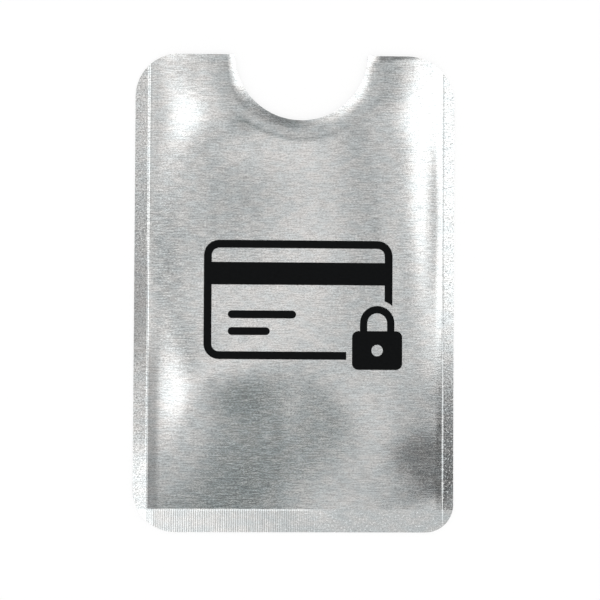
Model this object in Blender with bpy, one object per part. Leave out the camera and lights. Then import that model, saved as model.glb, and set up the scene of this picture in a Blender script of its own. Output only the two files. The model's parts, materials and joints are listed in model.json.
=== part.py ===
"""An open-ended foil sleeve that holds one bank card, lying on its back with its mouth towards +Y.

Two laminated sheets, each an outer film, a foil and an inner film, are welded along three sides.
The front sheet is pressed up over the pocket, and a thumb notch is cut through both at the mouth.
"""

import math

import bmesh
import bpy

MM = 0.001

# Outline of the sleeve, as cut
sleeve_width = 61.0 * MM
sleeve_length = 91.0 * MM
mouth_left_radius = 8.2 * MM
mouth_right_radius = 9.0 * MM
base_left_radius = 8.1 * MM
base_right_radius = 5.3 * MM
notch_radius = 12.8 * MM
notch_depth = 12.5 * MM
notch_offset = 1.05 * MM
corner_steps = 10
notch_steps = 32

# Welded seams, measured in from the cut edge
left_seam_width = 2.6 * MM
right_seam_width = 2.06 * MM
base_seam_width = 4.37 * MM
seam_thickness = 0.12 * MM
side_bead_width = 0.5 * MM
base_bead_width = 0.3 * MM
weld_gap = 0.05 * MM

# Sheets, from the outside in
outer_film_thickness = 0.02 * MM
foil_thickness = 0.04 * MM
inner_film_thickness = 0.08 * MM
bond_line = 0.02 * MM

# Pocket, pressed to the card that it holds
card_thickness = 0.76 * MM
card_play = 0.08 * MM
side_shoulder_width = 1.4 * MM
base_shoulder_width = 0.8 * MM
shoulder_steps = 5

# Printed card sign
ink_thickness = 0.01 * MM
print_offset_x = 0.7 * MM
print_offset_y = -1.35 * MM
sign_width = 36.0 * MM
sign_height = 22.7 * MM
sign_line = 1.5 * MM
sign_corner_radius = 2.9 * MM
stripe_height = 4.3 * MM
stripe_drop = 4.2 * MM
bar_height = 1.5 * MM
bar_inset = 4.6 * MM
long_bar_length = 13.0 * MM
short_bar_length = 8.0 * MM
bar_pitch = 3.2 * MM
sign_corner_steps = 6

# Printed padlock over the sign's lower right corner
lock_width = 9.6 * MM
lock_height = 7.4 * MM
lock_corner_radius = 1.2 * MM
shackle_radius = 3.3 * MM
shackle_line = 1.4 * MM
shackle_leg = 1.5 * MM
keyhole_radius = 1.1 * MM
lock_clearance = 1.1 * MM
lock_overhang = 1.9 * MM
shackle_steps = 16

# Modelling tolerances
cut_overrun = 1.0 * MM
weld_distance = 0.0001 * MM

# Heights of the stack, from the underside up
back_foil_base = outer_film_thickness + bond_line
back_inner_base = back_foil_base + foil_thickness + bond_line
seam_base = back_inner_base
pocket_floor = back_inner_base + inner_film_thickness
pocket_ceiling = pocket_floor + card_thickness + card_play
rim_foil_base = seam_base + seam_thickness + bond_line
panel_foil_base = pocket_ceiling + inner_film_thickness + bond_line
panel_rise = panel_foil_base - rim_foil_base
foil_to_outer_film = foil_thickness + bond_line
ink_base = panel_foil_base + foil_to_outer_film + outer_film_thickness + bond_line

# Edges of the sleeve, and the creases where the seams end and the pocket begins
left_edge = -sleeve_width / 2
right_edge = sleeve_width / 2
base_edge = -sleeve_length / 2
mouth_edge = sleeve_length / 2
left_crease = left_edge + left_seam_width
right_crease = right_edge - right_seam_width
base_crease = base_edge + base_seam_width

# The notch's middle lies a little beyond the mouth
notch_middle = mouth_edge - notch_depth + notch_radius
notch_start = -math.degrees(math.asin((notch_middle - mouth_edge) / notch_radius))

UP =(0.0, 0.0, 1.0)
TO_LEFT = (-1.0, 0.0, 0.0)
TO_RIGHT = (1.0, 0.0, 0.0)
TO_BASE = (0.0, -1.0, 0.0)
TO_MOUTH = (0.0, 1.0, 0.0)


def clear_scene():
    """Empties the scene of what it opened with."""
    for item in list(bpy.data.objects):
        bpy.data.objects.remove(item, do_unlink=True)


def material(name, colour, roughness, metallic=0.0, alpha=1.0):
    """A plain Principled material."""
    made = bpy.data.materials.new(name)
    made.use_nodes = True
    shader = made.node_tree.nodes["Principled BSDF"]
    shader.inputs["Base Color"].default_value = (*colour, 1.0)
    shader.inputs["Roughness"].default_value = roughness
    shader.inputs["Metallic"].default_value = metallic
    shader.inputs["Alpha"].default_value = alpha
    return made


def arc(centre_x, centre_y, radius, first_degrees, last_degrees, steps):
    """Points along a circle from one angle to another, both ends included."""
    points = []
    for step in range(steps + 1):
        angle = math.radians(first_degrees + (last_degrees - first_degrees) * step / steps)
        points.append((centre_x + radius * math.cos(angle), centre_y + radius * math.sin(angle)))
    return points


def sleeve_outline():
    """The cut outline with its thumb notch, counter-clockwise from the base's left corner."""
    points = arc(
        left_edge + base_left_radius, base_edge + base_left_radius,
        base_left_radius, 180, 270, corner_steps,
    )
    points += arc(
        right_edge - base_right_radius, base_edge + base_right_radius,
        base_right_radius, 270, 360, corner_steps,
    )
    points += arc(
        right_edge - mouth_right_radius, mouth_edge - mouth_right_radius,
        mouth_right_radius, 0, 90, corner_steps,
    )
    points += arc(notch_offset, notch_middle, notch_radius, notch_start, -180 - notch_start, notch_steps)
    points += arc(
        left_edge + mouth_left_radius, mouth_edge - mouth_left_radius,
        mouth_left_radius, 90, 180, corner_steps,
    )
    return points


def blank():
    """The sleeve's outline as one flat face."""
    sheet = bmesh.new()
    sheet.faces.new([sheet.verts.new((x, y, 0.0)) for x, y in sleeve_outline()])
    return sheet


def everything(sheet):
    return sheet.verts[:] + sheet.edges[:] + sheet.faces[:]


def trim(sheet, point, away):
    """Cuts off what lies beyond a straight line through a point."""
    bmesh.ops.bisect_plane(
        sheet, geom=everything(sheet), dist=weld_distance,
        plane_co=point, plane_no=away, clear_outer=True,
    )


def score(sheet, point, across, geometry=None):
    """Adds an edge along a straight line, where the sheet can then bend."""
    bmesh.ops.bisect_plane(
        sheet, geom=geometry or everything(sheet), dist=weld_distance,
        plane_co=point, plane_no=across,
    )


def score_mitre(sheet, crease_x, inward):
    """Scores the diagonal where a side shoulder meets the base shoulder."""
    corner = (crease_x, base_crease, 0.0)
    across = (base_shoulder_width, -side_shoulder_width * inward, 0.0)
    faces = []
    for face in sheet.faces:
        middle = face.calc_center_median()
        in_side = 0.0 < (middle.x - crease_x) * inward < side_shoulder_width
        if in_side and 0.0 < middle.y - base_crease < base_shoulder_width:
            faces.append(face)
    edges = {edge for face in faces for edge in face.edges}
    corners = {vertex for face in faces for vertex in face.verts}
    score(sheet, corner, across, [*corners, *edges, *faces])


def score_shoulders(sheet):
    """Scores every line along which the front sheet bends up to the panel."""
    for step in range(shoulder_steps + 1):
        share = step / shoulder_steps
        score(sheet, (left_crease + side_shoulder_width * share, 0.0, 0.0), TO_RIGHT)
        score(sheet, (right_crease - side_shoulder_width * share, 0.0, 0.0), TO_RIGHT)
        score(sheet, (0.0, base_crease + base_shoulder_width * share, 0.0), TO_MOUTH)
    score_mitre(sheet, left_crease, 1)
    score_mitre(sheet, right_crease, -1)


def panel_lift(x, y):
    """How far the front sheet stands above its seams: nothing there, all of it on the panel."""
    share = min(
        (x - left_crease) / side_shoulder_width,
        (right_crease - x) / side_shoulder_width,
        (y - base_crease) / base_shoulder_width,
        1.0,
    )
    share = max(share, 0.0)
    return panel_rise * share * share * (3 - 2 * share)


def level(height):
    """A flat face at one height."""
    return lambda x, y: height


def formed(height):
    """A face that follows the front sheet, this high above the underside on the seams."""
    return lambda x, y: height + panel_lift(x, y)


def closed_sheet(name, sheet, underside, topside, look):
    """Makes the flat blank a closed solid between two faces."""
    lower = sheet.verts[:]
    grown = bmesh.ops.extrude_face_region(sheet, geom=sheet.faces[:])
    upper = [item for item in grown["geom"] if isinstance(item, bmesh.types.BMVert)]
    for vertex in upper:
        vertex.co.z = topside(vertex.co.x, vertex.co.y)
    for vertex in lower:
        vertex.co.z = underside(vertex.co.x, vertex.co.y)
    bmesh.ops.recalc_face_normals(sheet, faces=sheet.faces[:])
    mesh = bpy.data.meshes.new(name)
    sheet.to_mesh(mesh)
    sheet.free()
    mesh.materials.append(look)
    made = bpy.data.objects.new(name, mesh)
    bpy.context.scene.collection.objects.link(made)
    return made


def flat_sheet(name, base, thickness, look):
    """A sheet of the whole outline that lies flat."""
    return closed_sheet(name, blank(), level(base), level(base + thickness), look)


def formed_sheet(name, base, thickness, look):
    """A sheet of the whole outline, pressed up over the pocket."""
    sheet = blank()
    score_shoulders(sheet)
    return closed_sheet(name, sheet, formed(base), formed(base + thickness), look)


def back_inner_film(look):
    """The pocket's floor, between the melted beads of the seams."""
    sheet = blank()
    inset = side_bead_width + weld_gap
    trim(sheet, (left_crease + inset, 0.0, 0.0), TO_LEFT)
    trim(sheet, (right_crease - inset, 0.0, 0.0), TO_RIGHT)
    trim(sheet, (0.0, base_crease + base_bead_width + weld_gap, 0.0), TO_BASE)
    return closed_sheet("back_inner_film", sheet, level(back_inner_base), level(pocket_floor), look)


def front_inner_film(look):
    """The pocket's ceiling, under the flat of the front panel."""
    sheet = blank()
    trim(sheet, (left_crease + side_shoulder_width, 0.0, 0.0), TO_LEFT)
    trim(sheet, (right_crease - side_shoulder_width, 0.0, 0.0), TO_RIGHT)
    trim(sheet, (0.0, base_crease + base_shoulder_width, 0.0), TO_BASE)
    top = level(pocket_ceiling + inner_film_thickness)
    return closed_sheet("front_inner_film", sheet, level(pocket_ceiling), top, look)


def seam(name, sheet, look):
    """A weld between the two foils, whose bead fills the start of the shoulder."""
    return closed_sheet(name, sheet, level(seam_base), formed(seam_base + seam_thickness), look)


def left_seam(look):
    sheet = blank()
    score_shoulders(sheet)
    trim(sheet, (left_crease + side_bead_width, 0.0, 0.0), TO_RIGHT)
    trim(sheet, (0.0, base_crease + base_bead_width + weld_gap, 0.0), TO_BASE)
    return seam("left_seam", sheet, look)


def right_seam(look):
    sheet = blank()
    score_shoulders(sheet)
    trim(sheet, (right_crease - side_bead_width, 0.0, 0.0), TO_LEFT)
    trim(sheet, (0.0, base_crease + base_bead_width + weld_gap, 0.0), TO_BASE)
    return seam("right_seam", sheet, look)


def base_seam(look):
    sheet = blank()
    score_shoulders(sheet)
    trim(sheet, (0.0, base_crease + base_bead_width, 0.0), TO_MOUTH)
    return seam("base_seam", sheet, look)


def rounded_box(left, low, right, high, radius, steps):
    """A rectangle with round corners, counter-clockwise."""
    points = arc(left + radius, low + radius, radius, 180, 270, steps)
    points += arc(right - radius, low + radius, radius, 270, 360, steps)
    points += arc(right - radius, high - radius, radius, 0, 90, steps)
    points += arc(left + radius, high - radius, radius, 90, 180, steps)
    return points


def plate(name, outlines, base, thickness, look):
    """A flat plate inside the first outline, with the others as its holes."""
    sheet = bmesh.new()
    for outline in outlines:
        ring = [sheet.verts.new((x, y, 0.0)) for x, y in outline]
        for first, second in zip(ring, ring[1:] + ring[:1]):
            sheet.edges.new((first, second))
    bmesh.ops.triangle_fill(sheet, use_beauty=True, use_dissolve=False, edges=sheet.edges[:], normal=UP)
    return closed_sheet(name, sheet, level(base), level(base + thickness), look)


# Places of the printed sign
sign_left = print_offset_x - sign_width / 2
sign_right = print_offset_x + sign_width / 2
sign_low = print_offset_y - sign_height / 2
sign_high = print_offset_y + sign_height / 2
stripe_high = sign_high - stripe_drop
stripe_low = stripe_high - stripe_height
lock_right = sign_right + lock_overhang
lock_left = lock_right - lock_width
lock_low = sign_low - lock_overhang
lock_high = lock_low + lock_height
lock_middle = (lock_left + lock_right) / 2


def lock_outline(grow):
    """The padlock's body and shackle in one outline, grown on every side."""
    radius = lock_corner_radius + grow
    right, high = lock_right + grow, lock_high + grow
    left, low = lock_left - grow, lock_low - grow
    points = arc(left + radius, low + radius, radius, 180, 270, sign_corner_steps)
    points += arc(right - radius, low + radius, radius, 270, 360, sign_corner_steps)
    points += arc(right - radius, high - radius, radius, 0, 90, sign_corner_steps)
    outer = shackle_radius + grow
    points.append((lock_middle + outer, high))
    points += arc(lock_middle, lock_high + shackle_leg, outer, 0, 180, shackle_steps)
    points.append((lock_middle - outer, high))
    points += arc(left + radius, high - radius, radius, 90, 180, sign_corner_steps)
    return points


def shackle_window():
    """The gap under the shackle."""
    inner = shackle_radius - shackle_line
    points = [(lock_middle - inner, lock_high), (lock_middle + inner, lock_high)]
    return points + arc(lock_middle, lock_high + shackle_leg, inner, 0, 180, shackle_steps)


def keyhole():
    middle = (lock_low + lock_high) / 2
    return arc(lock_middle, middle, keyhole_radius, 0, 360, shackle_steps)[:-1]


def printed_sign(look):
    """A bank card's outline with its stripe, cut clear of the padlock."""
    inner_left, inner_right = sign_left + sign_line, sign_right - sign_line
    inner_radius = sign_corner_radius - sign_line
    upper = [(inner_left, stripe_high), (inner_right, stripe_high)]
    upper += arc(
        inner_right - inner_radius, sign_high - sign_line - inner_radius,
        inner_radius, 0, 90, sign_corner_steps,
    )
    upper += arc(
        inner_left + inner_radius, sign_high - sign_line - inner_radius,
        inner_radius, 90, 180, sign_corner_steps,
    )
    lower = arc(
        inner_left + inner_radius, sign_low + sign_line + inner_radius,
        inner_radius, 180, 270, sign_corner_steps,
    )
    lower += arc(
        inner_right - inner_radius, sign_low + sign_line + inner_radius,
        inner_radius, 270, 360, sign_corner_steps,
    )
    lower += [(inner_right, stripe_low), (inner_left, stripe_low)]
    outer = rounded_box(sign_left, sign_low, sign_right, sign_high, sign_corner_radius, sign_corner_steps)
    sign = plate("print_card_sign", [outer, upper, lower], ink_base, ink_thickness, look)
    cutter = plate(
        "padlock_clearance", [lock_outline(lock_clearance)],
        ink_base - cut_overrun, ink_thickness + 2 * cut_overrun, look,
    )
    cutter.hide_render = True
    cutter.display_type = "WIRE"
    cut = sign.modifiers.new("padlock_clearance", "BOOLEAN")
    cut.operation = "DIFFERENCE"
    cut.solver = "EXACT"
    cut.object = cutter


def printed_bars(look):
    """Two short bars in the lower left of the sign."""
    left = sign_left + bar_inset
    low = sign_low + bar_inset
    for name, rise, length in (
        ("print_lower_bar", 0.0, short_bar_length),
        ("print_upper_bar", bar_pitch, long_bar_length),
    ):
        bar = rounded_box(
            left, low + rise, left + length, low + rise + bar_height, bar_height / 2, sign_corner_steps
        )
        # The round ends meet in one point on each side, which stays single
        outline = list(dict.fromkeys(bar))
        plate(name, [outline], ink_base, ink_thickness, look)


def printed_padlock(look):
    outlines = [lock_outline(0.0), shackle_window(), keyhole()]
    plate("print_padlock", outlines, ink_base, ink_thickness, look)


def build():
    clear_scene()
    clear_film = material("clear_film", (0.86, 0.88, 0.89), 0.22, alpha=0.25)
    foil = material("rolled_foil", (0.75, 0.76, 0.76), 0.34, metallic=1.0)
    sealing_film = material("sealing_film", (0.83, 0.84, 0.84), 0.45)
    weld = material("melted_weld", (0.78, 0.79, 0.80), 0.5)
    ink = material("black_ink", (0.012, 0.012, 0.013), 0.4)

    flat_sheet("back_outer_film", 0.0, outer_film_thickness, clear_film)
    flat_sheet("back_foil", back_foil_base, foil_thickness, foil)
    back_inner_film(sealing_film)
    left_seam(weld)
    right_seam(weld)
    base_seam(weld)
    front_inner_film(sealing_film)
    formed_sheet("front_foil", rim_foil_base, foil_thickness, foil)
    formed_sheet("front_outer_film", rim_foil_base + foil_to_outer_film, outer_film_thickness, clear_film)
    printed_sign(ink)
    printed_bars(ink)
    printed_padlock(ink)


build()
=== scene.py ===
"""Looks of the foil card sleeve: its fine curved sheets and materials, and the floor, light and camera."""

import json
import math

import bmesh
import bpy
import numpy as np
from mathutils import Matrix, Vector

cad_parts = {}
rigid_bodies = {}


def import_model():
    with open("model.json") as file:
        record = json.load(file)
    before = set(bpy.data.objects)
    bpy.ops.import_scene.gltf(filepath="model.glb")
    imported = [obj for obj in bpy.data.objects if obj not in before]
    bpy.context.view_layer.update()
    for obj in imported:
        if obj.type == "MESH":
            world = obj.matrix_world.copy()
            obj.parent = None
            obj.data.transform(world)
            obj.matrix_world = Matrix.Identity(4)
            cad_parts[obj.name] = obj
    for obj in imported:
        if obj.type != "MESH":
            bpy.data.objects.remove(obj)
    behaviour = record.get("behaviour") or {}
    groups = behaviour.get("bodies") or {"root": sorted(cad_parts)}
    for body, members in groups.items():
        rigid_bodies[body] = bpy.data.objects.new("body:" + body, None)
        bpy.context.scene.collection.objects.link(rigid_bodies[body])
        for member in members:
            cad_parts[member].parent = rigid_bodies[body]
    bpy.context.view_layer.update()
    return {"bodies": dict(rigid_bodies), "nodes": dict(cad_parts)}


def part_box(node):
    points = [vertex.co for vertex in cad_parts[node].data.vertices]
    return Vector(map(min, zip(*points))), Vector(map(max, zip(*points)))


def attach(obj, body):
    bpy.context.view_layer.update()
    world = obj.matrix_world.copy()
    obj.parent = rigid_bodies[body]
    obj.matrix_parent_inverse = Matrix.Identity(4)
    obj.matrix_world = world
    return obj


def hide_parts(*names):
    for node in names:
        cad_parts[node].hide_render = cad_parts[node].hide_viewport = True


MM = 0.001

# Corners, notch, seams and layers, as the solids have them
MOUTH_LEFT_RADIUS = 8.2 * MM
MOUTH_RIGHT_RADIUS = 9.0 * MM
BASE_LEFT_RADIUS = 8.1 * MM
BASE_RIGHT_RADIUS = 5.3 * MM
NOTCH_RADIUS = 12.8 * MM
NOTCH_DEPTH = 12.5 * MM
NOTCH_OFFSET = 1.05 * MM
LEFT_SEAM_WIDTH = 2.6 * MM
RIGHT_SEAM_WIDTH = 2.06 * MM
BASE_SEAM_WIDTH = 4.37 * MM
FOIL_THICKNESS = 0.04 * MM
FILM_THICKNESS = 0.02 * MM
INNER_FILM_THICKNESS = 0.08 * MM
BOND_LINE = 0.02 * MM
INK_THICKNESS = 0.01 * MM
CORNER_STEPS = 24
NOTCH_STEPS = 96

# Front sheet: a narrow fold at each seam, a shoulder beside the side seams, then a long gentle bow.
# A span, here and further down, is two places: what it rules starts at the first and is whole at the second.
FOLD_RISE = 0.09 * MM
FOLD_WIDTH = 0.32 * MM
BASE_FOLD_OPENS = (0.0 * MM, 9.0 * MM)
SHOULDER_WIDTH = 1.5 * MM
SHOULDER_RISE = 0.015 * MM
LEFT_LOW_SHOULDER = -0.015 * MM
RIGHT_LOW_SHOULDER = 0.03 * MM
LOW_SHOULDER_CHANGES = (-10.0 * MM, 10.0 * MM)
LOW_SHOULDER_STARTS = (-20.0 * MM, -30.0 * MM)
LOW_SHOULDER_ENDS = (-39.0 * MM, -33.0 * MM)
BOW_RISE = 0.61 * MM
LEFT_BOW_REACH = 11.0 * MM
RIGHT_BOW_REACH = 9.0 * MM
LEFT_STRIP_WIDTH = 1.4 * MM
LEFT_STRIP_SOFTNESS = 1.0 * MM
BASE_KNEE = 25.0 * MM
BASE_KNEE_LEFT = -3.0 * MM
BASE_KNEE_LEFT_SPAN = (-12.0 * MM, -24.0 * MM)
BASE_KNEE_RIGHT = -12.0 * MM
BASE_KNEE_RIGHT_SPAN = (0.0 * MM, 22.0 * MM)
BASE_KNEE_SHARPNESS = 9.0

# Front sheet: bulges along the left side, each with its height along the sleeve, its spread there, its reach
# inwards and its share of the bow's rise
LEFT_BULGES = [
    (33.5 * MM, 5.5 * MM, 10.5 * MM, 1.25),
    (-20.0 * MM, 8.0 * MM, 7.5 * MM, 1.1),
]

# Seams: each is a little thicker beside the pocket than at the sleeve's edge. The left one gains more over
# some spans of its length, and the right one gets thinner near the base
LEFT_SWELL = 0.025 * MM
LEFT_SWELL_GAINS = [
    (0.035 * MM, (-6.0 * MM, -18.0 * MM)),
    (0.09 * MM, (-23.0 * MM, -35.0 * MM)),
    (0.03 * MM, (12.0 * MM, 30.0 * MM)),
]
RIGHT_SWELL = 0.12 * MM
RIGHT_SWELL_LOSS = 0.6
RIGHT_SWELL_LOSS_SPAN = (-33.0 * MM, -41.0 * MM)
BASE_SWELL = 0.18 * MM
SWELL_REACH = 10.0 * MM

# Front sheet: a shallow slope near the right crease, with its reach each way and its angle
SLOPE_PLACE = (24.5 * MM, 20.0 * MM)
SLOPE_REACH = (4.0 * MM, 14.0 * MM)
SLOPE_ANGLE = math.radians(-1.2)

# Front sheet: a faint soft crease right of the middle: its place, lean, drop to its right, and extents
FAINT_CREASE_PLACE = (15.6 * MM, 19.0 * MM)
FAINT_CREASE_LEAN = -0.137
FAINT_CREASE_DROP = 0.045 * MM
FAINT_CREASE_SPREAD = 3.2 * MM
FAINT_CREASE_SOFTNESS = 0.5 * MM
FAINT_CREASE_LENGTH = 10.0 * MM

# Front sheet: edges of the mouth and the notch, curled down by handling
NOTCH_CURL = 0.28 * MM
NOTCH_CURL_REACH = 4.5 * MM
NOTCH_CURL_NARROWING = 0.35
NARROWING_DEPTH = 6.0 * MM
MOUTH_CURL = 0.045 * MM
MOUTH_CURL_REACH = 2.4 * MM
MOUTH_RIGHT_CURL = 0.065 * MM
MOUTH_RIGHT_CURL_SPAN = (0.0 * MM, 14.0 * MM)

# Front sheet: how far in from the creases its slope, faint crease and curls come to their full height
LOOSE_MARGIN = 4.0 * MM

# Spacing of the fine sheets' lines on the panel, near the creases and near the edges
PANEL_PITCH = 0.6 * MM
CREASE_PITCH = 0.1 * MM
CREASE_REACH = 1.2 * MM
EDGE_PITCH = 0.3 * MM

# Meshes: how far each weld reaches into the pocket, how near two corners count as one, from which angle an
# edge is sharp, and how far up a face of the print has to look to count as its top
BEAD_WIDTH = 0.4 * MM
SAME_PLACE = 0.0001 * MM
SHARP_ANGLE = math.radians(60)
TOP_FACING = 0.9

# Noises of the materials, as spots per metre each way
SHORT_STREAKS = (2600.0, 4600.0, 1.0)
LONG_STREAKS = (480.0, 3800.0, 1.0)
SAND = (3200.0, 3400.0, 1.0)
SPECKS = (2600.0, 2900.0, 1.0)
TINT_CLOUDS = (300.0, 520.0, 1.0)
RIB_BREAKS = (2600.0, 260.0, 1.0)
FILM_WAVES = (260.0, 420.0, 1.0)

# How many finer layers the noises have, where they have more than two
STREAK_DETAIL = 3.0
SAND_DETAIL = 4.0
CLOUD_DETAIL = 5.0
PLASTIC_DETAIL = 3.0

# Foil: shares of one noise in another, and the noise values over which tone, tint, sheen and specks change
LONG_STREAK_SHARE = 0.45
SIDE_SAND_SHARE = 0.5
BASE_SAND_SHARE = 0.4
RIB_BREAK_SHARE = 0.5
TINT_RANGE = (0.35, 0.65)
TONE_RANGE = (0.33, 0.65)
SHEEN_RANGE = (0.42, 0.75)
SPECK_RANGE = (0.54, 0.68)

# Foil: its cool and warm tints, the darkest tone of each zone, its roughness and the depth of its grain
COOL_TINT = (0.92, 0.95, 0.96)
WARM_TINT = (1.0, 0.99, 0.98)
PANEL_DARKEST = 0.56
SIDE_DARKEST = 0.36
BASE_DARKEST = 0.68
FOIL_ROUGHNESS = (0.07, 0.13)
SPECK_ROUGHNESS = 0.31
GRAIN_DEPTH = 0.003 * MM
RIB_DEPTH = 0.006 * MM

# Foil: painted shade, its colour darkened towards black, in a strip beside the left crease and in a spot on
# the left edge
PAINTED_SHADE_DEPTH = 0.36
SHADED_STRIP_OFFSET = 0.8 * MM
SHADED_STRIP_ACROSS = (2.0 * MM, 0.5 * MM)
SHADED_STRIP_ALONG = (-6.0 * MM, -16.0 * MM)
SHADED_SPOT_HEIGHT = -3.0 * MM
SHADED_SPOT_REACH = 19.0 * MM

# Ribs of the base seam: their spacing, lean and waver, their share of the grain, and the span over which they
# fade. A Wave node at scale 1 turns by the given number of radians per metre
RIB_PITCH = 0.42 * MM
WAVE_NODE_TURN = 20
RIB_LEAN = (1.0, 0.12, 1.0)
RIB_WAVER = {"Distortion": 2.0, "Detail": 2.0, "Detail Scale": 1.5}
RIB_SHARE = 0.5
RIBS_FADE = (-6.0 * MM, 8.0 * MM)

# Clear film: its tint, waves and gloss. Each face mirrors the given share square on, and more at a slant. The
# last value leaves a Layer Weight node's facing share as it is
FILM_TINT = (0.985, 0.99, 0.99, 1.0)
FILM_WAVE_DEPTH = 0.004 * MM
FILM_WAVE_STRENGTH = 0.4
FILM_ROUGHNESS = 0.12
FILM_GLOSS = 0.034
FILM_GLOSS_POWER = 5.0
EVEN_FACING = 0.5

# Sealing film, welds and ink: tones, spots per metre, roughness, depth of bump and mirrored share
MILKY = (0.74, 0.75, 0.75)
MILKY_LIGHT = (0.84, 0.85, 0.85)
INK_BLACK = (0.0015, 0.0018, 0.002)
INK_GREY = (0.004, 0.0045, 0.005)
SEALING_FILM = (MILKY, MILKY_LIGHT, (900.0, 900.0, 1.0), (0.5, 0.35), 0.004 * MM, 0.5)
WELD = (MILKY, MILKY_LIGHT, (1800.0, 1800.0, 1.0), (0.45, 0.3), 0.01 * MM, 0.5)
INK = (INK_BLACK, INK_GREY, (1500.0, 2500.0, 1.0), (0.6, 0.45), 0.003 * MM, 0.05)
PLASTIC_RANGE = (0.3, 0.7)
PLASTIC_BUMP = 0.5

# Places of a Mix node's sockets: two numbers, two colours and the mixed colour
MIX_FIRST_NUMBER = 2
MIX_SECOND_NUMBER = 3
MIX_FIRST_COLOUR = 6
MIX_SECOND_COLOUR = 7
MIX_RESULT_COLOUR = 2

# Floor
FLOOR_SIZE = 4.0
FLOOR_COLOUR = (0.95, 0.95, 0.95, 1.0)
FLOOR_ROUGHNESS = 0.9
FLOOR_WHITE_SHARE = 0.7

# Room: directions are given by their parts across the sleeve, along it and up. The ceiling has one light, with
# more of it in the upper left, and patches
CEILING_LIGHT = 0.63
CEILING_LEAST = 0.05
UPPER_LEFT_LIGHT = 0.22
UPPER_LEFT_ACROSS = (0.01, -0.07)
UPPER_LEFT_ALONG = (0.05, 0.09)

# Soft patches of the ceiling: direction across and along, reach both ways, and light added or taken
CEILING_PATCHES = [
    (0.0, 0.035, 0.08, 0.032, 0.42),
    (0.055, 0.065, 0.05, 0.06, 0.36),
    (-0.04, 0.065, 0.08, 0.025, -0.16),
    (-0.105, 0.052, 0.06, 0.06, -0.45),
    (-0.035, 0.20, 0.04, 0.05, -0.20),
    (0.115, 0.155, 0.045, 0.03, -0.25),
    (0.12, 0.20, 0.04, 0.03, -0.12),
    (0.094, 0.075, 0.024, 0.07, -0.21),
    (0.022, 0.108, 0.08, 0.045, -0.38),
    (0.033, -0.053, 0.043, 0.07, -0.47),
    (-0.032, -0.018, 0.035, 0.045, -0.16),
    (0.03, 0.05, 0.035, 0.022, -0.11),
    (0.085, -0.072, 0.05, 0.04, 0.13),
    (0.062, -0.060, 0.024, 0.045, 0.26),
    (0.032, -0.015, 0.035, 0.03, -0.12),
    (-0.06, 0.0, 0.055, 0.09, 0.30),
    (-0.125, 0.118, 0.055, 0.045, 1.10),
    (-0.12, -0.02, 0.06, 0.07, 0.60),
    (0.10, -0.02, 0.055, 0.06, 0.20),
    (0.125, 0.055, 0.03, 0.06, 0.16),
]

# Upper room, beyond the ceiling: the span along over which it takes over, and its light from right to left
UPPER_ROOM_ALONG = (0.20, 0.27)
UPPER_ROOM_ACROSS = (0.10, -0.08)
UPPER_ROOM_LIGHT = (0.26, 1.46)

# Lamps: the right one's edge shifts over some spans along, and the left one leans
LAMP_LIGHT = 1.7
RIGHT_LAMP_EDGE = 0.145
RIGHT_LAMP_SHIFTS = [
    ((0.105, 0.065), 0.045),
    ((0.26, 0.31), 0.045),
    ((0.12, 0.15), 0.02),
    ((0.20, 0.23), -0.02),
]
RIGHT_LAMP_SOFTNESS = (-0.04, 0.05)
RIGHT_LAMP_ALONG = (0.0, 0.03)
LEFT_LAMP_LEAN = -0.04
LEFT_LAMP_LEAN_ALONG = (0.13, 0.20)
LEFT_LAMP_ACROSS = (-0.07, -0.17)
BASE_LAMP_ALONG = (-0.10, -0.14)
BASE_LAMP_ACROSS = (0.05, -0.03)

# Shade in the lower right: its left side, which moves left further down, its slanted top, its bottom, how dark
# it is, and its thinner right end
SHADE_ACROSS = (0.11, 0.17)
SHADE_WIDENING = 0.045
SHADE_WIDENING_ALONG = (-0.04, -0.08)
SHADE_TOP = (0.0, -0.05)
SHADE_TOP_PIVOT = 0.15
SHADE_TOP_SLANT = 0.35
SHADE_BOTTOM = (-0.12, -0.075)
SHADE_DEPTH = -0.79
SHADE_THINNING = -0.4
SHADE_THINNING_ACROSS = (0.19, 0.22)
SHADE_THINNING_ALONG = (-0.035, -0.06)

# Room's colours, and the amounts of light over which they come in
WHITE = (1.0, 1.0, 1.0)
BLACK = (0.0, 0.0, 0.0)
COOL_LIGHT = (0.87, 1.0, 1.0)
COOL_SPAN = (0.5, 0.2)
COOL_ACROSS = (0.10, 0.05)
WARM_LIGHT = (1.0, 0.965, 0.95)
WARM_SPAN = (0.6, 0.9)
WARM_END = (1.5, 1.1)

# Rest of the room, around the ceiling
AROUND_RISE = (0.94, 0.866)
AROUND_LIGHT = 1.05

# Camera, fitted to the sleeve's edges in the photograph
CAMERA_DISTANCE = 450.0 * MM
CAMERA_YAW = math.radians(-3.07)
CAMERA_PITCH = math.radians(-2.08)
CAMERA_ROLL = math.radians(0.305)
CAMERA_AIM = (1.08 * MM, -1.33 * MM, 0.0)
CAMERA_LENS = 141.5
CAMERA_SENSOR = 36.0
CAMERA_NEAREST = 10.0 * MM


# Shared helpers


def add(tree, kind, inputs=None, **settings):
    """A node with its settings and inputs, where an input may be another node's output."""
    made = tree.nodes.new(kind)
    for name, value in settings.items():
        setattr(made, name, value)
    for name, value in (inputs or {}).items():
        socket = made.inputs[name]
        if isinstance(value, bpy.types.NodeSocket):
            tree.links.new(value, socket)
        else:
            socket.default_value = value
    return made


def maths(tree, operation, first, second=0.0):
    return add(tree, "ShaderNodeMath", {0: first, 1: second}, operation=operation).outputs[0]


def scaled(tree, value, start, stop, low=0.0, high=1.0):
    """A value turned from one range into another along a smooth step."""
    ranges = {"Value": value, "From Min": start, "From Max": stop, "To Min": low, "To Max": high}
    return add(tree, "ShaderNodeMapRange", ranges, interpolation_type="SMOOTHSTEP").outputs["Result"]


def smooth(share):
    share = np.clip(share, 0.0, 1.0)
    return share * share * (3 - 2 * share)


def ramp(value, start, stop):
    return smooth((value - start) / (stop - start))


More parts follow.
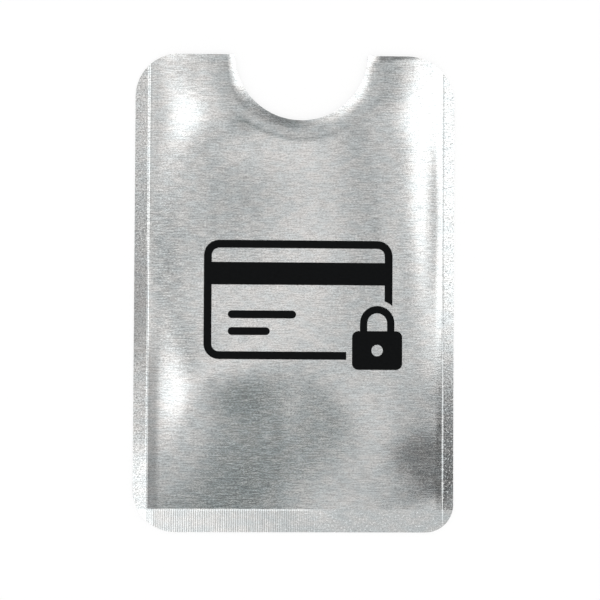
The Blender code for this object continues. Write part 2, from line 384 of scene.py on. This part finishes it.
def arc(centre_x, centre_y, radius, first_degrees, last_degrees, steps):
    """Points along a circle from one angle to another, both ends included."""
    angles = np.radians(np.linspace(first_degrees, last_degrees, steps + 1))
    return [(centre_x + radius * math.cos(a), centre_y + radius * math.sin(a)) for a in angles]


def spaced(start, stop, pitch):
    """Evenly spaced places between two ends, both included."""
    return np.linspace(start, stop, max(1, round((stop - start) / pitch)) + 1)


# The frame

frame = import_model()
root = next(iter(frame["bodies"]))
low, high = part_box("front_foil")
LEFT, BASE = low[0], low[1]
RIGHT, MOUTH = high[0], high[1]
RIM_FOIL_BASE = low[2]
SEAM_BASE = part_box("base_seam")[0][2]
BACK_FOIL_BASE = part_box("back_foil")[0][2]
LEFT_CREASE = LEFT + LEFT_SEAM_WIDTH
RIGHT_CREASE = RIGHT - RIGHT_SEAM_WIDTH
BASE_CREASE = BASE + BASE_SEAM_WIDTH
NOTCH_MIDDLE = MOUTH - NOTCH_DEPTH + NOTCH_RADIUS
NOTCH_START = -math.degrees(math.asin((NOTCH_MIDDLE - MOUTH) / NOTCH_RADIUS))


# Forms


def inward_distances(x, y):
    """How far places lie inside the left, right and base creases."""
    return x - LEFT_CREASE, RIGHT_CREASE - x, y - BASE_CREASE


def seam_swell(x, y, inward):
    """How far the seams' thicker inner edges lift the front sheet, there and a little way into the panel."""
    left_swell = LEFT_SWELL + sum(gain * ramp(y, *span) for gain, span in LEFT_SWELL_GAINS)
    right_swell = RIGHT_SWELL * (1 - RIGHT_SWELL_LOSS * ramp(y, *RIGHT_SWELL_LOSS_SPAN))
    widths = (LEFT_SEAM_WIDTH, RIGHT_SEAM_WIDTH, BASE_SEAM_WIDTH)
    total = 0.0
    for distance, width, swell in zip(inward, widths, (left_swell, right_swell, BASE_SWELL)):
        outside = 1 - np.clip(-distance / width, 0.0, 1.0)
        total = total + swell * outside * np.exp(-np.maximum(distance, 0.0) / SWELL_REACH)
    return total


def edge_folds(x, inward):
    """The narrow folds: half outside each side crease, and wholly outside the base one, where the fold opens
    into a slope over the seam on the right."""
    left, right = (smooth(distance / FOLD_WIDTH + 0.5) for distance in inward[:2])
    base = smooth(inward[2] / FOLD_WIDTH + 1)
    opened = ramp(x, *BASE_FOLD_OPENS) * (1 - np.clip(-inward[2] / BASE_SEAM_WIDTH, 0.0, 1.0))
    return FOLD_RISE * np.minimum.reduce([left, right, np.maximum(base, opened)])


def shoulders(x, y, inward):
    """The low steps beside the side seams, near the base lower on the left and higher on the right."""
    low_change = LEFT_LOW_SHOULDER + (RIGHT_LOW_SHOULDER - LEFT_LOW_SHOULDER) * ramp(x, *LOW_SHOULDER_CHANGES)
    rise = SHOULDER_RISE + low_change * ramp(y, *LOW_SHOULDER_STARTS) * ramp(y, *LOW_SHOULDER_ENDS)
    return rise * np.minimum.reduce([smooth(distance / SHOULDER_WIDTH) for distance in inward[:2]])


def bow_rise(distance, reach):
    return 1 - np.exp(-np.maximum(distance, 0.0) / reach)


def even_rise(distance, reach, sharpness):
    """A straight rise from 0 that turns level with a soft knee at its reach."""
    share = np.maximum(distance, 0.0) / reach
    return 1 - np.log1p(np.exp(sharpness * (1 - share))) / sharpness


def bow(x, y, inward):
    """The long gentle bow, with a flat strip and bulges on the left and a soft knee above the base seam."""
    beyond_strip = inward[0] - LEFT_STRIP_WIDTH
    left_rise = bow_rise((beyond_strip + np.hypot(beyond_strip, LEFT_STRIP_SOFTNESS)) / 2, LEFT_BOW_REACH)
    for middle, spread, reach, height_share in LEFT_BULGES:
        share = np.exp(-0.5 * ((y - middle) / spread) ** 2)
        bulge = height_share * (1 - np.exp(-((np.maximum(inward[0], 0.0) / reach) ** 2)))
        left_rise = left_rise + share * (bulge - left_rise)
    right_rise = bow_rise(inward[1], RIGHT_BOW_REACH)
    knee = BASE_KNEE + BASE_KNEE_LEFT * ramp(x, *BASE_KNEE_LEFT_SPAN)
    knee = knee + BASE_KNEE_RIGHT * ramp(x, *BASE_KNEE_RIGHT_SPAN)
    return BOW_RISE * left_rise * right_rise * even_rise(inward[2], knee, BASE_KNEE_SHARPNESS)


def right_slope(x, y):
    """A shallow slope near the right crease, which fades out all round."""
    across, along = x - SLOPE_PLACE[0], y - SLOPE_PLACE[1]
    fall = np.exp(-0.5 * ((across / SLOPE_REACH[0]) ** 2 + (along / SLOPE_REACH[1]) ** 2))
    return fall * math.tan(SLOPE_ANGLE) * across


def faint_crease_drop(x, y):
    """How far the sheet drops to the right of the faint crease, which fades out at both ends."""
    beyond = y - FAINT_CREASE_PLACE[1]
    beside = x - FAINT_CREASE_PLACE[0] - FAINT_CREASE_LEAN * beyond
    beside = (beside + np.hypot(beside, FAINT_CREASE_SOFTNESS)) / 2
    fade = np.exp(-0.5 * (beyond / FAINT_CREASE_LENGTH) ** 2)
    return FAINT_CREASE_DROP * (1 - np.exp(-beside / FAINT_CREASE_SPREAD)) * fade


def edge_curl(x, y):
    """How far the sheet curls down at the notch and at the mouth."""
    from_notch = np.maximum(np.hypot(x - NOTCH_OFFSET, y - NOTCH_MIDDLE) - NOTCH_RADIUS, 0.0)
    narrowed = 1 - NOTCH_CURL_NARROWING * ramp(y, MOUTH - NARROWING_DEPTH, MOUTH)
    at_notch = np.maximum(1 - from_notch / (NOTCH_CURL_REACH * narrowed), 0.0)
    mouth_curl = MOUTH_CURL + MOUTH_RIGHT_CURL * ramp(x, *MOUTH_RIGHT_CURL_SPAN)
    at_mouth = np.maximum(1 - (MOUTH - y) / MOUTH_CURL_REACH, 0.0)
    return NOTCH_CURL * narrowed * at_notch ** 2 + mouth_curl * at_mouth ** 2


def panel_lift(x, y):
    """How far the front sheet stands above its flat rim."""
    inward = inward_distances(x, y)
    lift = edge_folds(x, inward) + shoulders(x, y, inward) + bow(x, y, inward) + seam_swell(x, y, inward)
    inside = np.minimum.reduce([smooth(distance / LOOSE_MARGIN) for distance in inward])
    return lift + inside * (right_slope(x, y) - faint_crease_drop(x, y) - edge_curl(x, y))


def front_surface(x, y):
    """The underside of the front foil."""
    return RIM_FOIL_BASE + panel_lift(x, y)


def above(surface, rise):
    return lambda x, y: surface(x, y) + rise


def level(height):
    return lambda x, y: np.full_like(x, height)


# Sheets


def sleeve_outline():
    left, right = LEFT + BASE_LEFT_RADIUS, RIGHT - BASE_RIGHT_RADIUS
    points = arc(left, BASE + BASE_LEFT_RADIUS, BASE_LEFT_RADIUS, 180, 270, CORNER_STEPS)
    points += arc(right, BASE + BASE_RIGHT_RADIUS, BASE_RIGHT_RADIUS, 270, 360, CORNER_STEPS)
    left, right = LEFT + MOUTH_LEFT_RADIUS, RIGHT - MOUTH_RIGHT_RADIUS
    points += arc(right, MOUTH - MOUTH_RIGHT_RADIUS, MOUTH_RIGHT_RADIUS, 0, 90, CORNER_STEPS)
    points += arc(NOTCH_OFFSET, NOTCH_MIDDLE, NOTCH_RADIUS, NOTCH_START, -180 - NOTCH_START, NOTCH_STEPS)
    points += arc(left, MOUTH - MOUTH_LEFT_RADIUS, MOUTH_LEFT_RADIUS, 90, 180, CORNER_STEPS)
    return points


def column_lines():
    """Places across the sleeve where its sheets are cut into columns, closest at the creases."""
    panel_left, panel_right = LEFT_CREASE + 2 * CREASE_REACH, RIGHT_CREASE - 2 * CREASE_REACH
    rim_left, rim_right = LEFT_CREASE - CREASE_REACH, RIGHT_CREASE + CREASE_REACH / 2
    return np.concatenate([
        spaced(LEFT, rim_left, EDGE_PITCH),
        spaced(rim_left, panel_left, CREASE_PITCH)[1:],
        spaced(panel_left, panel_right, PANEL_PITCH)[1:],
        spaced(panel_right, rim_right, CREASE_PITCH)[1:],
        spaced(rim_right, RIGHT, EDGE_PITCH)[1:],
    ])[1:-1]


def row_lines():
    """Places along the sleeve where its sheets are cut into rows, closest at the base crease."""
    rim_top, panel_base = BASE_CREASE - CREASE_REACH, BASE_CREASE + 2 * CREASE_REACH
    panel_top = MOUTH - NOTCH_DEPTH - 2 * CREASE_REACH
    return np.concatenate([
        spaced(BASE, rim_top, EDGE_PITCH),
        spaced(rim_top, panel_base, CREASE_PITCH)[1:],
        spaced(panel_base, panel_top, PANEL_PITCH)[1:],
        spaced(panel_top, MOUTH, EDGE_PITCH)[1:],
    ])[1:-1]


def cut_lines(sheet, places, axis):
    """Cuts a flat sheet along lines across one axis, in rising order."""
    normal = (1.0, 0.0, 0.0) if axis == 0 else (0.0, 1.0, 0.0)
    ahead = sheet.faces[:]
    for place in places:
        edges = dict.fromkeys(edge for face in ahead for edge in face.edges)
        corners = dict.fromkeys(vertex for face in ahead for vertex in face.verts)
        point = (place, 0.0, 0.0) if axis == 0 else (0.0, place, 0.0)
        cut = bmesh.ops.bisect_plane(
            sheet, geom=[*corners, *edges, *ahead], dist=SAME_PLACE, plane_co=point, plane_no=normal
        )
        faces = dict.fromkeys(item for item in cut["geom"] if isinstance(item, bmesh.types.BMFace))
        ahead = [face for face in faces if face.calc_center_median()[axis] > place]


def blank():
    """The flat sleeve, cut into a fine grid."""
    sheet = bmesh.new()
    sheet.faces.new([sheet.verts.new((x, y, 0.0)) for x, y in sleeve_outline()])
    cut_lines(sheet, column_lines(), 0)
    cut_lines(sheet, row_lines(), 1)
    return sheet


def keep_faces(sheet, wanted):
    """Leaves only the faces whose middle is wanted."""
    dropped = [face for face in sheet.faces if not wanted(face.calc_center_median())]
    bmesh.ops.delete(sheet, geom=dropped, context="FACES")
    return sheet


def put_in_order(sheet):
    """Orders a sheet's corners, edges and faces by their places, so that each run makes the same mesh."""
    for parts, place in (
        (sheet.verts, lambda corner: corner.co),
        (sheet.edges, lambda edge: edge.verts[0].co + edge.verts[1].co),
        (sheet.faces, lambda face: face.calc_center_median()),
    ):
        for order, part in enumerate(sorted(parts, key=lambda part: tuple(place(part)))):
            part.index = order
        parts.sort()


def closed_sheet(name, sheet, underside, topside, materials, replaced, zone=None):
    """Closes a flat cut sheet into a solid between two surfaces, and makes it the piece for a node."""
    lower = sheet.verts[:]
    grown = bmesh.ops.extrude_face_region(sheet, geom=sheet.faces[:])
    upper = [item for item in grown["geom"] if isinstance(item, bmesh.types.BMVert)]
    for vertices, surface in ((lower, underside), (upper, topside)):
        places = np.array([vertex.co[:2] for vertex in vertices])
        for vertex, height in zip(vertices, surface(places[:, 0], places[:, 1])):
            vertex.co.z = height
    bmesh.ops.recalc_face_normals(sheet, faces=sheet.faces[:])
    for face in sheet.faces:
        face.smooth = True
        if zone:
            face.material_index = zone(face.calc_center_median())
    put_in_order(sheet)
    mesh = bpy.data.meshes.new(name)
    sheet.to_mesh(mesh)
    sheet.free()
    for look in materials:
        mesh.materials.append(look)
    mesh.set_sharp_from_angle(angle=SHARP_ANGLE)
    piece = bpy.data.objects.new(name, mesh)
    bpy.context.scene.collection.objects.link(piece)
    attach(piece, root)
    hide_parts(replaced)
    return piece


def weld_zone(middle):
    """0 on the panel, 1 on the side seams, 2 on the base seam."""
    if middle.y < BASE_CREASE:
        return 2
    if middle.x < LEFT_CREASE or middle.x > RIGHT_CREASE:
        return 1
    return 0


def inside_pocket(middle):
    return min(inward_distances(middle.x, middle.y)) > BEAD_WIDTH


def in_base_seam(middle):
    return middle.y < BASE_CREASE + BEAD_WIDTH


def in_left_seam(middle):
    return not in_base_seam(middle) and middle.x < LEFT_CREASE + BEAD_WIDTH


def in_right_seam(middle):
    return not in_base_seam(middle) and middle.x > RIGHT_CREASE - BEAD_WIDTH


# Materials


def new_material(name):
    made = bpy.data.materials.new(name)
    made.use_nodes = True
    tree = made.node_tree
    return made, tree, tree.nodes["Principled BSDF"]


def object_place(tree):
    return add(tree, "ShaderNodeTexCoord").outputs["Object"]


def noise(tree, spots, detail=2.0):
    """Noise with the given number of spots per metre each way."""
    spread = add(tree, "ShaderNodeVectorMath", {0: object_place(tree), 1: spots}, operation="MULTIPLY")
    settings = {"Vector": spread.outputs[0], "Scale": 1.0, "Detail": detail}
    return add(tree, "ShaderNodeTexNoise", settings).outputs["Fac"]


def mixed_colour(tree, share, first, second):
    made = add(tree, "ShaderNodeMix", {"Factor": share}, data_type="RGBA")
    for place, value in ((MIX_FIRST_COLOUR, first), (MIX_SECOND_COLOUR, second)):
        if isinstance(value, bpy.types.NodeSocket):
            tree.links.new(value, made.inputs[place])
        else:
            made.inputs[place].default_value = (*value, 1.0)
    return made.outputs[MIX_RESULT_COLOUR]


def blended(tree, share, first, second):
    """A number between two, by a share."""
    both = {"Factor": share, MIX_FIRST_NUMBER: first, MIX_SECOND_NUMBER: second}
    return add(tree, "ShaderNodeMix", both, data_type="FLOAT").outputs[0]


def bumped(tree, height, depth, strength=1.0):
    """The normal of a surface that is bumped by a height."""
    inputs = {"Height": height, "Strength": strength, "Distance": depth}
    return add(tree, "ShaderNodeBump", inputs).outputs["Normal"]


def rolled_grain(tree):
    """Fine broken streaks across the sleeve, short ones over longer ones."""
    short = noise(tree, SHORT_STREAKS, STREAK_DETAIL)
    return blended(tree, LONG_STREAK_SHARE, short, noise(tree, LONG_STREAKS))


def rough_specks(tree):
    """Small scattered places where the pressed foil is rough."""
    return scaled(tree, noise(tree, SPECKS), *SPECK_RANGE)


def finish_foil(tree, shader, grain, depth, darkest, specks=None, painted_shade=None):
    """Colour, bump and roughness of foil from its grain, with rough specks, and painted shade darkening the
    colour where given.
    """
    tint = scaled(tree, noise(tree, TINT_CLOUDS, CLOUD_DETAIL), *TINT_RANGE)
    dark_cool, dark_warm = ([darkest * part for part in colour] for colour in (COOL_TINT, WARM_TINT))
    dark = mixed_colour(tree, tint, dark_cool, dark_warm)
    light = mixed_colour(tree, tint, COOL_TINT, WARM_TINT)
    tone = mixed_colour(tree, scaled(tree, grain, *TONE_RANGE), dark, light)
    # Painted shade: the colour mixed towards black by the given share
    if painted_shade:
        tone = mixed_colour(tree, painted_shade, tone, BLACK)
    tree.links.new(tone, shader.inputs["Base Color"])
    tree.links.new(bumped(tree, grain, depth), shader.inputs["Normal"])
    shader.inputs["Metallic"].default_value = 1.0
    roughness = scaled(tree, grain, *SHEEN_RANGE, *FOIL_ROUGHNESS)
    if specks:
        roughness = blended(tree, specks, roughness, SPECK_ROUGHNESS)
    tree.links.new(roughness, shader.inputs["Roughness"])


def panel_foil_material():
    """Bright rolled foil with fine grain across the sleeve, and painted shade in a strip beside the left
    crease.
    """
    made, tree, shader = new_material("rolled_foil")
    across, along, _ = add(tree, "ShaderNodeSeparateXYZ", {"Vector": object_place(tree)}).outputs
    # Painted shade: a strip beside the left crease, its colour darkened towards black, whole lower down
    from_mark = maths(tree, "ABSOLUTE", maths(tree, "SUBTRACT", across, LEFT_CREASE + SHADED_STRIP_OFFSET))
    shaded_strip = scaled(tree, from_mark, *SHADED_STRIP_ACROSS, 0.0, PAINTED_SHADE_DEPTH)
    shaded_strip = maths(tree, "MULTIPLY", shaded_strip, scaled(tree, along, *SHADED_STRIP_ALONG))
    finish_foil(tree, shader, rolled_grain(tree), GRAIN_DEPTH, PANEL_DARKEST, painted_shade=shaded_strip)
    return made


def side_foil_material():
    """The same foil, pressed sandy by the side welding bars, with painted shade around one place on the left
    edge.
    """
    made, tree, shader = new_material("sandy_foil")
    # Painted shade: the colour darkened towards black around one place on the left edge
    shaded_spot_place = {0: object_place(tree), 1: (LEFT, SHADED_SPOT_HEIGHT, 0.0)}
    from_shaded_spot = add(tree, "ShaderNodeVectorMath", shaded_spot_place, operation="DISTANCE").outputs["Value"]
    painted_shade = scaled(tree, from_shaded_spot, SHADED_SPOT_REACH, 0.0, 0.0, PAINTED_SHADE_DEPTH)
    grain = blended(tree, SIDE_SAND_SHARE, rolled_grain(tree), noise(tree, SAND, SAND_DETAIL))
    finish_foil(tree, shader, grain, GRAIN_DEPTH, SIDE_DARKEST, rough_specks(tree), painted_shade)
    return made


def base_foil_material():
    """The same foil with the uneven fine ribs of the base welding bar, which fade to the right."""
    made, tree, shader = new_material("ribbed_foil")
    place = object_place(tree)
    leaning = add(tree, "ShaderNodeVectorMath", {0: place, 1: RIB_LEAN}, operation="MULTIPLY").outputs[0]
    waves = {"Vector": leaning, "Scale": 2 * math.pi / (WAVE_NODE_TURN * RIB_PITCH), **RIB_WAVER}
    ribs = add(tree, "ShaderNodeTexWave", waves, bands_direction="X").outputs["Fac"]
    ribs = blended(tree, RIB_BREAK_SHARE, ribs, noise(tree, RIB_BREAKS))
    plain = blended(tree, BASE_SAND_SHARE, rolled_grain(tree), noise(tree, SAND, SAND_DETAIL))
    across = add(tree, "ShaderNodeSeparateXYZ", {"Vector": place}).outputs["X"]
    grain = blended(tree, scaled(tree, across, *RIBS_FADE, RIB_SHARE, 0.0), plain, ribs)
    finish_foil(tree, shader, grain, RIB_DEPTH, BASE_DARKEST, rough_specks(tree))
    return made


def clear_film_material():
    """Clear glossy film, a little uneven."""
    made = bpy.data.materials.new("clear_film")
    made.use_nodes = True
    tree = made.node_tree
    tree.nodes.clear()
    bump = bumped(tree, noise(tree, FILM_WAVES), FILM_WAVE_DEPTH, FILM_WAVE_STRENGTH)
    clear = add(tree, "ShaderNodeBsdfTransparent", {"Color": FILM_TINT})
    gloss = add(tree, "ShaderNodeBsdfGlossy", {"Roughness": FILM_ROUGHNESS, "Normal": bump})
    slant = add(tree, "ShaderNodeLayerWeight", {"Blend": EVEN_FACING, "Normal": bump}).outputs["Facing"]
    rising = maths(tree, "MULTIPLY", maths(tree, "POWER", slant, FILM_GLOSS_POWER), 1 - FILM_GLOSS)
    share = maths(tree, "ADD", rising, FILM_GLOSS)
    both = {"Fac": share, 1: clear.outputs["BSDF"], 2: gloss.outputs["BSDF"]}
    mixed = add(tree, "ShaderNodeMixShader", both)
    add(tree, "ShaderNodeOutputMaterial", {"Surface": mixed.outputs["Shader"]})
    return made


def plastic_material(name, dark, light, spots, roughness, depth, specular):
    """A pale or dark plastic whose tone, gloss and bump follow one noise."""
    made, tree, shader = new_material(name)
    cloud = noise(tree, spots, PLASTIC_DETAIL)
    tree.links.new(mixed_colour(tree, cloud, dark, light), shader.inputs["Base Color"])
    tree.links.new(scaled(tree, cloud, *PLASTIC_RANGE, *roughness), shader.inputs["Roughness"])
    tree.links.new(bumped(tree, cloud, depth, PLASTIC_BUMP), shader.inputs["Normal"])
    shader.inputs["Specular IOR Level"].default_value = specular
    return made


foils = [panel_foil_material(), side_foil_material(), base_foil_material()]
film = [clear_film_material()]
sealing = [plastic_material("milky_film", *SEALING_FILM)]
melted = [plastic_material("melted_weld", *WELD)]
ink = [plastic_material("black_ink", *INK)]


# Sleeve

sleeve = blank()
foil_top = above(front_surface, FOIL_THICKNESS)
film_base = above(foil_top, BOND_LINE)
film_top = above(film_base, FILM_THICKNESS)
inner_top = above(front_surface, -BOND_LINE)
inner_base = above(inner_top, -INNER_FILM_THICKNESS)
back_base, back_top = level(BACK_FOIL_BASE), level(BACK_FOIL_BASE + FOIL_THICKNESS)
pocket_sheet = keep_faces(sleeve.copy(), inside_pocket)
closed_sheet(
    "front_foil_sheet", sleeve.copy(), front_surface, foil_top, foils, "front_foil", weld_zone
)
closed_sheet("front_clear_film", sleeve.copy(), film_base, film_top, film, "front_outer_film")
closed_sheet(
    "front_sealing_film", pocket_sheet, inner_base, inner_top, sealing, "front_inner_film"
)
for name, where in (("left_seam", in_left_seam), ("right_seam", in_right_seam), ("base_seam", in_base_seam)):
    strip = keep_faces(sleeve.copy(), where)
    closed_sheet(f"{name}_weld", strip, level(SEAM_BASE), inner_top, melted, name)
closed_sheet("back_foil_sheet", sleeve.copy(), back_base, back_top, foils, "back_foil", weld_zone)
for node, looks in (("back_outer_film", film), ("back_inner_film", sealing)):
    frame["nodes"][node].data.materials.clear()
    frame["nodes"][node].data.materials.append(looks[0])


def print_sheet(node):
    """The node's flat top, cut fine and laid on the front film."""
    sheet = bmesh.new()
    sheet.from_mesh(frame["nodes"][node].data)
    bmesh.ops.remove_doubles(sheet, verts=sheet.verts[:], dist=SAME_PLACE)
    sheet.normal_update()
    dropped = [face for face in sheet.faces if face.normal.z <= TOP_FACING]
    bmesh.ops.delete(sheet, geom=dropped, context="FACES")
    for vertex in sheet.verts:
        vertex.co.z = 0.0
    (left, base, _), (right, mouth, _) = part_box(node)
    cut_lines(sheet, spaced(left, right, PANEL_PITCH)[1:-1], 0)
    cut_lines(sheet, spaced(base, mouth, PANEL_PITCH)[1:-1], 1)
    under = above(film_top, BOND_LINE / 2)
    closed_sheet(f"{node}_ink", sheet, under, above(under, INK_THICKNESS), ink, node)


for node in ("print_card_sign", "print_upper_bar", "print_lower_bar", "print_padlock"):
    print_sheet(node)


# Floor, light and camera


def floor():
    """A pale floor that looks white to the camera and in mirrors."""
    bpy.ops.mesh.primitive_plane_add(size=FLOOR_SIZE)
    plane = bpy.context.object
    plane.name = "floor"
    made, tree, shader = new_material("floor_white")
    shader.inputs["Base Color"].default_value = FLOOR_COLOUR
    shader.inputs["Roughness"].default_value = FLOOR_ROUGHNESS
    shader.inputs["Specular IOR Level"].default_value = 0.0
    rays = add(tree, "ShaderNodeLightPath").outputs
    seen = maths(tree, "MAXIMUM", rays["Is Camera Ray"], rays["Is Glossy Ray"])
    seen = maths(tree, "MAXIMUM", seen, rays["Is Transmission Ray"])
    white = add(tree, "ShaderNodeEmission", {"Color": (*WHITE, 1.0), "Strength": 1.0})
    share = maths(tree, "MULTIPLY", seen, FLOOR_WHITE_SHARE)
    both = {"Fac": share, 1: shader.outputs["BSDF"], 2: white.outputs["Emission"]}
    mixed = add(tree, "ShaderNodeMixShader", both)
    tree.links.new(mixed.outputs["Shader"], tree.nodes["Material Output"].inputs["Surface"])
    plane.data.materials.append(made)


def studio_world():
    """A bright room: a grey ceiling with lighter and darker patches, and lamps at both sides and the base."""
    world = bpy.data.worlds.new("studio")
    bpy.context.scene.world = world
    world.use_nodes = True
    tree = world.node_tree
    tree.nodes.clear()
    toward = add(tree, "ShaderNodeTexCoord").outputs["Generated"]
    across, along, rise = add(tree, "ShaderNodeSeparateXYZ", {"Vector": toward}).outputs

    def times(*values):
        product = values[0]
        for value in values[1:]:
            product = maths(tree, "MULTIPLY", product, value)
        return product

    def plus(first, second):
        return maths(tree, "ADD", first, second)

    def over(value, span, low=0.0, high=1.0):
        """A smooth change from low to high as a value crosses a span."""
        return scaled(tree, value, *span, low, high)

    def patch(x, y, reach_x, reach_y, strength):
        """A soft round patch of light or shade around one direction."""
        apart = add(tree, "ShaderNodeVectorMath", {0: toward, 1: (x, y, 0.0)}, operation="SUBTRACT")
        shares = {0: apart.outputs[0], 1: (1 / reach_x, 1 / reach_y, 0.0)}
        spread = add(tree, "ShaderNodeVectorMath", shares, operation="MULTIPLY").outputs[0]
        distance = add(tree, "ShaderNodeVectorMath", {0: spread}, operation="LENGTH").outputs["Value"]
        return over(distance, (1.0, 0.0), 0.0, strength)

    upper_left = times(over(across, UPPER_LEFT_ACROSS, 0.0, UPPER_LEFT_LIGHT), over(along, UPPER_LEFT_ALONG))
    ceiling = plus(upper_left, CEILING_LIGHT)
    for place in CEILING_PATCHES:
        ceiling = plus(ceiling, patch(*place))
    ceiling = maths(tree, "MAXIMUM", ceiling, CEILING_LEAST)
    upper_room = over(across, UPPER_ROOM_ACROSS, *UPPER_ROOM_LIGHT)
    ceiling = blended(tree, over(along, UPPER_ROOM_ALONG), ceiling, upper_room)

    right_edge = RIGHT_LAMP_EDGE
    for span, shift in RIGHT_LAMP_SHIFTS:
        right_edge = plus(over(along, span, 0.0, shift), right_edge)
    right_lamp = over(maths(tree, "SUBTRACT", across, right_edge), RIGHT_LAMP_SOFTNESS)
    right_lamp = times(right_lamp, over(along, RIGHT_LAMP_ALONG))
    left_lean = over(along, LEFT_LAMP_LEAN_ALONG, 0.0, LEFT_LAMP_LEAN)
    left_lamp = over(plus(across, left_lean), LEFT_LAMP_ACROSS)
    base_lamp = times(over(along, BASE_LAMP_ALONG), over(across, BASE_LAMP_ACROSS))
    lamps = maths(tree, "MAXIMUM", maths(tree, "MAXIMUM", left_lamp, right_lamp), base_lamp)
    ceiling = blended(tree, lamps, ceiling, LAMP_LIGHT)

    side = plus(across, over(along, SHADE_WIDENING_ALONG, 0.0, SHADE_WIDENING))
    slanted = maths(tree, "SUBTRACT", along, times(plus(across, -SHADE_TOP_PIVOT), SHADE_TOP_SLANT))
    depth = over(along, SHADE_BOTTOM, 0.0, SHADE_DEPTH)
    shade = times(over(side, SHADE_ACROSS), over(slanted, SHADE_TOP), depth)
    thinning = over(along, SHADE_THINNING_ALONG, 0.0, SHADE_THINNING)
    shade = times(shade, plus(times(over(across, SHADE_THINNING_ACROSS), thinning), 1.0))
    ceiling = times(ceiling, plus(shade, 1.0))

    cool = times(over(ceiling, COOL_SPAN), over(across, COOL_ACROSS))
    warm = times(over(ceiling, WARM_SPAN), over(ceiling, WARM_END))
    colour = mixed_colour(tree, cool, WHITE, COOL_LIGHT)
    colour = mixed_colour(tree, warm, colour, WARM_LIGHT)
    around = over(rise, AROUND_RISE)
    strength = blended(tree, around, ceiling, AROUND_LIGHT)
    colour = mixed_colour(tree, around, colour, WHITE)
    shine = add(tree, "ShaderNodeBackground", {"Color": colour, "Strength": strength})
    add(tree, "ShaderNodeOutputWorld", {"Surface": shine.outputs["Background"]})


def camera():
    """A camera at the photograph's angle."""
    data = bpy.data.cameras.new("camera")
    data.lens = CAMERA_LENS
    data.sensor_width = CAMERA_SENSOR
    data.clip_start = CAMERA_NEAREST
    item = bpy.data.objects.new("camera", data)
    bpy.context.scene.collection.objects.link(item)
    back = Vector((
        math.sin(CAMERA_YAW) * math.cos(CAMERA_PITCH),
        math.sin(CAMERA_PITCH),
        math.cos(CAMERA_YAW) * math.cos(CAMERA_PITCH),
    ))
    right = Vector((0.0, 1.0, 0.0)).cross(back).normalized()
    up = back.cross(right)
    turned_right = math.cos(CAMERA_ROLL) * right + math.sin(CAMERA_ROLL) * up
    turned_up = math.cos(CAMERA_ROLL) * up - math.sin(CAMERA_ROLL) * right
    place = Matrix((turned_right, turned_up, back)).transposed().to_4x4()
    place.translation = Vector(CAMERA_AIM) + back * CAMERA_DISTANCE
    item.matrix_world = place
    bpy.context.scene.camera = item


floor()
studio_world()
camera()
bpy.context.scene.view_settings.view_transform = "Standard"
